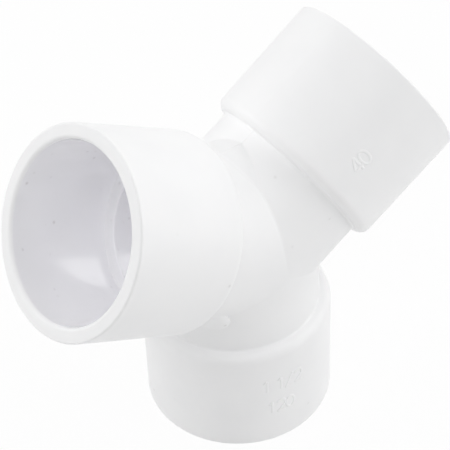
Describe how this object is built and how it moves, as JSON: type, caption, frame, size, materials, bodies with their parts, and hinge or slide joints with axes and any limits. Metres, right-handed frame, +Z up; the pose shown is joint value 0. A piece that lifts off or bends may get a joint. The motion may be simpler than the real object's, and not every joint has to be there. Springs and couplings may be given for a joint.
{
  "type": "pipe wye fitting",
  "caption": "White moulded PVC pool pipe wye: equal slip sockets spread evenly in one plane round a hollow junction, with pipe stops and webbed crotches.",
  "frame": {"origin": "centre of the lower hub's rim, on the surface that the fitting stands on", "axes": "+Z up the lower leg's axis; the two arms spread along X in the plane Y = 0"},
  "size_m": [0.1334, 0.057, 0.1157],
  "materials": {
    "pvc": "moulded semi-gloss"
  },
  "bodies": {
    "root": {"wye_fitting": "pvc"}
  },
  "joints": []
}
